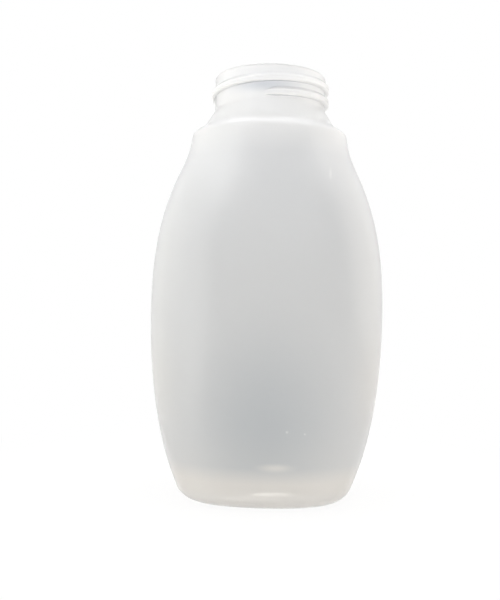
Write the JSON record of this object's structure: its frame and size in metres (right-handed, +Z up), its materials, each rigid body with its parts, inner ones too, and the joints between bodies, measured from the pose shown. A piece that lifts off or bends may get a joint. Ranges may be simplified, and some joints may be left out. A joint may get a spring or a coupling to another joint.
{
  "type": "squeeze bottle",
  "caption": "Empty oval squeeze bottle for honey, blow-moulded from translucent natural polyethylene, with an open wide threaded neck and a pushed-up foot.",
  "frame": {"origin": "centre of the foot, on the plane that the bottle stands on", "axes": "+Z up along the neck's axis, X across the bottle's width, Y through its depth with -Y at the front panel; the thread's lower end is at the front"},
  "size_m": [0.0732, 0.047, 0.1318],
  "materials": {
    "natural_polyethylene": "satin, translucent and milky"
  },
  "bodies": {
    "root": {"bottle": "natural_polyethylene"}
  },
  "joints": []
}
